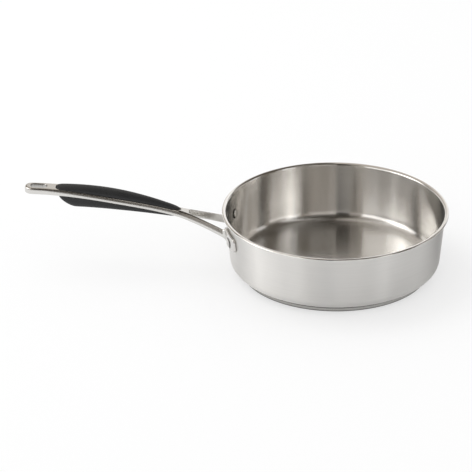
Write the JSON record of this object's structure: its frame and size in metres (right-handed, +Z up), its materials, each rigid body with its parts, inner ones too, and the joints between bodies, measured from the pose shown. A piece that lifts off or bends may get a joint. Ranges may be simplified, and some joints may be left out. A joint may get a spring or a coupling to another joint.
{
  "type": "saucier pan",
  "caption": "Shallow flared-rim saucier pan with a clad flat base, a riveted forked long handle with soft grips and a hanging hole.",
  "frame": {"origin": "centre of the base's underside, on the pan's axis, where the pan rests", "axes": "+Z up along the pan's axis; the handle points along -X; +Y to the left of someone looking along the handle from its tail towards the pan"},
  "size_m": [0.4655, 0.249, 0.0966],
  "materials": {
    "vessel_steel": "fine circular brushing inside and satin outside, bright rim",
    "base_steel": "polished edge, turned underside",
    "core_aluminium": "plain rolled",
    "handle_steel": "polished cast stainless",
    "grip_black": "matte soft-touch",
    "rivet_steel": "polished",
    "screw_steel": "plain"
  },
  "bodies": {
    "root": {"pan_shell": "vessel_steel", "core_disc": "core_aluminium", "base_cap": "base_steel", "handle_frame": "handle_steel", "upper_grip": "grip_black", "lower_grip": "grip_black", "handle_rivets": "rivet_steel", "grip_screws": "screw_steel"}
  },
  "joints": []
}
